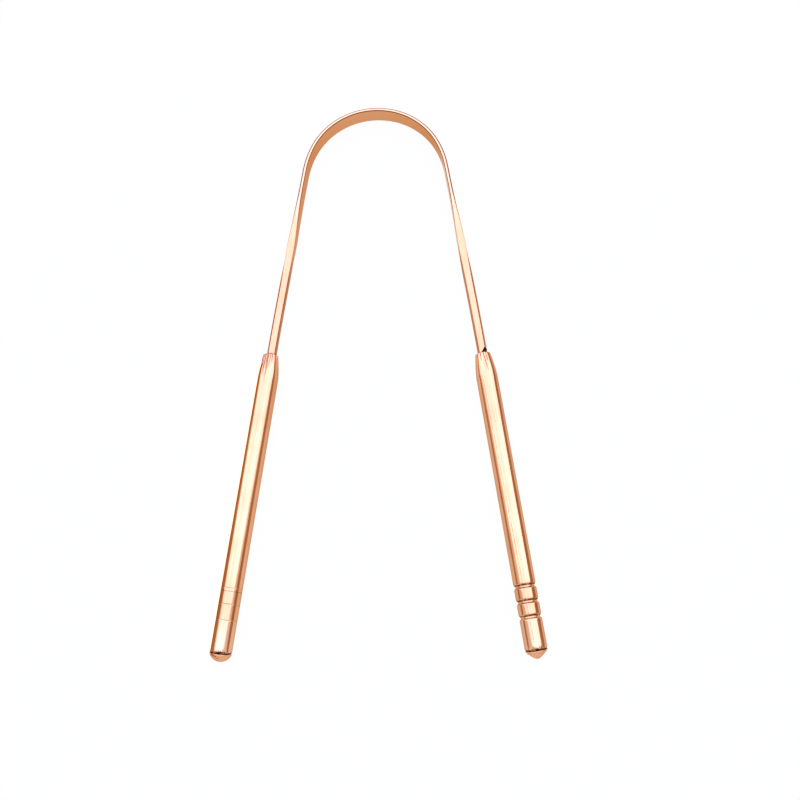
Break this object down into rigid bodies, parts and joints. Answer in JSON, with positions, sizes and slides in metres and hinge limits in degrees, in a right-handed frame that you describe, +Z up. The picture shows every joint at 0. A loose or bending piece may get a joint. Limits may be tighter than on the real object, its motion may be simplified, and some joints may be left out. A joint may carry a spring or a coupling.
{
  "type": "tongue scraper",
  "caption": "U-shaped tongue scraper: a copper rod flattened into a springy strip at its arch, with tubular handles that have swaged necks, turned grooves and domed ends.",
  "frame": {"origin": "on the surface that the scraper lies on, below the middle of its outline", "axes": "+Y from the handles to the arch, +X to the right, +Z up, square to the plane of the U"},
  "size_m": [0.0832, 0.1504, 0.0056],
  "materials": {
    "band": "polished copper",
    "handle": "polished copper",
    "bush": "plain turned"
  },
  "bodies": {
    "band": {"scraper_band": "band"},
    "left_handle": {"left_handle_tube": "handle", "left_tang_bush": "bush", "left_end_plug": "handle"},
    "right_handle": {"right_handle_tube": "handle", "right_tang_bush": "bush", "right_end_plug": "handle"}
  },
  "joints": [
    {"name": "left_handle_flex", "type": "hinge", "parent": "band", "child": "left_handle", "pos_m": [0, 0.05539, 0.0028], "axis": [0, 0, 1], "range_deg": [-6, 8], "stiffness_Nm_per_rad": 1.05, "deforming": ["scraper_band"]},
    {"name": "right_handle_flex", "type": "hinge", "parent": "band", "child": "right_handle", "pos_m": [0, 0.05539, 0.0028], "axis": [0, 0, -1], "range_deg": [-6, 8], "stiffness_Nm_per_rad": 1.05, "deforming": ["scraper_band"]}
  ]
}
